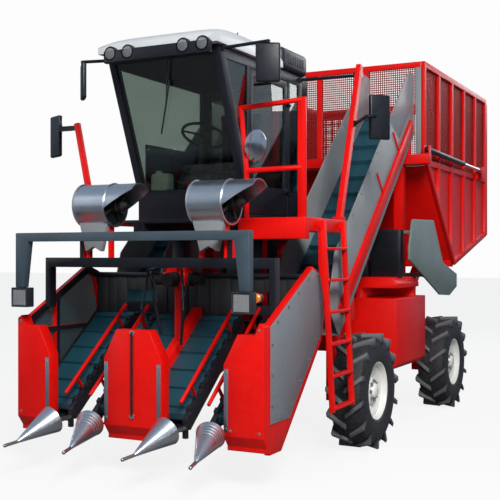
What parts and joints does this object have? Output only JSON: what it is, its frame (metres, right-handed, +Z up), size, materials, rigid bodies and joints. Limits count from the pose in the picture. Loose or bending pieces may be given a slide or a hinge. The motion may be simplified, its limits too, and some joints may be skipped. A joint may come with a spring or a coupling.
{
  "type": "self-propelled tobacco harvester",
  "caption": "Tall wheeled leaf harvester with a raised cab, a lifting row header with divider cones and fans, inclined elevators and a tipping netted bin.",
  "frame": {"origin": "on the ground, under the middle of the overall box", "axes": "+Z up, the machine drives towards -Y, its left side is +X"},
  "size_m": [3.06, 7.1, 3.8],
  "materials": {
    "red_paint": "gloss red enamel",
    "grey_paint": "satin blue-grey enamel",
    "black_paint": "satin black enamel",
    "white_paint": "white enamel",
    "white_plastic": "moulded white plastic",
    "stainless": "brushed stainless sheet",
    "aluminium_strip": "drawn aluminium",
    "bright_steel": "ground and plated rod",
    "engine_iron": "dark cast iron",
    "belt_rubber": "teal conveyor belting",
    "tyre_rubber": "dusty tyre rubber",
    "polycarbonate": "smoked polycarbonate sheet",
    "tinted_glass": "tinted safety glass",
    "lamp_glass": "clear lamp glass",
    "mirror_glass": "silvered glass",
    "seat_fabric": "black seat cloth",
    "interior_plastic": "black cab plastic"
  },
  "bodies": {
    "chassis": {"main_frame": "red_paint", "gantry": "red_paint", "front_axle": "red_paint", "rear_axle": "red_paint", "engine": "engine_iron", "side_tanks": "red_paint", "cab_floor": "black_paint", "platform": "red_paint", "railing": "red_paint", "ladder": "red_paint", "roof_box": "black_paint", "belt_guard": "grey_paint", "elevator_hoods": "polycarbonate", "cab_frame": "black_paint", "cab_glass": "tinted_glass", "cab_roof": "white_plastic", "lamp_bar": "black_paint", "roof_lamps": "lamp_glass", "seat": "seat_fabric", "steering_column": "interior_plastic", "mirror_arms": "black_paint", "mirror_glasses": "mirror_glass", "elevator_casings": "grey_paint", "elevator_belts": "belt_rubber", "elevator_channels": "red_paint"},
    "header": {"header_frame": "red_paint", "front_panels": "red_paint", "wear_strips": "aluminium_strip", "side_sheets": "polycarbonate", "divider_cones": "stainless", "header_belts": "belt_rubber", "chain_beams": "black_paint", "guard_rods": "red_paint", "header_gearbox": "red_paint", "fan_housings": "stainless", "lamp_beam": "grey_paint", "headlamps": "lamp_glass"},
    "bin": {"bin_side_left": "red_paint", "bin_side_right": "red_paint", "bin_hopper": "red_paint", "bin_front": "grey_paint", "bin_rear_beam": "red_paint"},
    "tailgate": {"tailgate": "red_paint"},
    "door": {"door_frame": "black_paint", "door_glass": "tinted_glass"},
    "tip_barrels": {"tip_barrels": "red_paint"},
    "tip_rods": {"tip_rods": "bright_steel"},
    "lift_barrels": {"lift_barrels": "red_paint"},
    "lift_rods": {"lift_rods": "bright_steel"},
    "knuckle_left": {"knuckle_left": "red_paint"},
    "knuckle_right": {"knuckle_right": "red_paint"},
    "tie_rod": {"tie_rod": "bright_steel"},
    "wheel_front_left": {"tyre_front_left": "tyre_rubber", "rim_front_left": "white_paint"},
    "wheel_front_right": {"tyre_front_right": "tyre_rubber", "rim_front_right": "white_paint"},
    "wheel_rear_left": {"tyre_rear_left": "tyre_rubber", "rim_rear_left": "white_paint"},
    "wheel_rear_right": {"tyre_rear_right": "tyre_rubber", "rim_rear_right": "white_paint"}
  },
  "joints": [
    {"name": "front_left_spin", "type": "hinge", "parent": "chassis", "child": "wheel_front_left", "pos_m": [1.135, -1, 0.51893], "axis": [1, 0, 0], "continuous": true},
    {"name": "front_right_spin", "type": "hinge", "parent": "chassis", "child": "wheel_front_right", "pos_m": [-1.135, -1, 0.51893], "axis": [1, 0, 0], "continuous": true},
    {"name": "rear_left_spin", "type": "hinge", "parent": "knuckle_left", "child": "wheel_rear_left", "pos_m": [1.135, 1.6, 0.51893], "axis": [1, 0, 0], "continuous": true},
    {"name": "rear_right_spin", "type": "hinge", "parent": "knuckle_right", "child": "wheel_rear_right", "pos_m": [-1.135, 1.6, 0.51893], "axis": [1, 0, 0], "continuous": true},
    {"name": "steer_left", "type": "hinge", "parent": "chassis", "child": "knuckle_left", "pos_m": [0.86, 1.6, 0.93], "axis": [0, 0, 1], "range_deg": [-30, 30]},
    {"name": "steer_right", "type": "hinge", "parent": "chassis", "child": "knuckle_right", "pos_m": [-0.86, 1.6, 0.93], "axis": [0, 0, 1], "range_deg": [-30, 30]},
    {"name": "tie_rod_pivot", "type": "hinge", "parent": "knuckle_left", "child": "tie_rod", "pos_m": [0.86, 1.83, 0.6625], "axis": [0, 0, 1], "range_deg": [-30, 30]},
    {"name": "header_lift", "type": "hinge", "parent": "chassis", "child": "header", "pos_m": [0, -1.76, 1.35], "axis": [-1, 0, 0], "range_deg": [-6, 10]},
    {"name": "lift_barrel_swing", "type": "hinge", "parent": "chassis", "child": "lift_barrels", "pos_m": [0, -1.65, 0.94], "axis": [-1, 0, 0], "range_deg": [-7, 11]},
    {"name": "lift_rod_slide", "type": "slide", "parent": "lift_barrels", "child": "lift_rods", "axis": [0, -0.9368, -0.3499], "range_m": [-0.05, 0.08]},
    {"name": "bin_tip", "type": "hinge", "parent": "chassis", "child": "bin", "pos_m": [0, 3.38, 1.89], "axis": [-1, 0, 0], "range_deg": [0, 50]},
    {"name": "tip_barrel_swing", "type": "hinge", "parent": "chassis", "child": "tip_barrels", "pos_m": [0, 0.59, 2.85], "axis": [1, 0, 0], "range_deg": [-1, 2]},
    {"name": "tip_rod_slide", "type": "slide", "parent": "tip_barrels", "child": "tip_rods", "axis": [0, 0.9999, -0.017], "range_m": [0, 0.88]},
    {"name": "tailgate_hinge", "type": "hinge", "parent": "bin", "child": "tailgate", "pos_m": [0, 3.525, 3.77], "axis": [1, 0, 0], "range_deg": [0, 80]},
    {"name": "door_hinge", "type": "hinge", "parent": "chassis", "child": "door", "pos_m": [0.545, -1.333, 2.7], "axis": [0, 0, 1], "range_deg": [0, 70]}
  ],
  "couplings": [
    {"joint": "steer_right", "follows": "steer_left", "ratio": 1},
    {"joint": "tie_rod_pivot", "follows": "steer_left", "ratio": -1},
    {"joint": "lift_barrel_swing", "follows": "header_lift", "ratio": 1.03},
    {"joint": "lift_rod_slide", "follows": "header_lift", "m_per_rad": 0.42226},
    {"joint": "tip_barrel_swing", "follows": "bin_tip", "ratio": 0.00824},
    {"joint": "tip_rod_slide", "follows": "bin_tip", "m_per_rad": 0.98749}
  ]
}
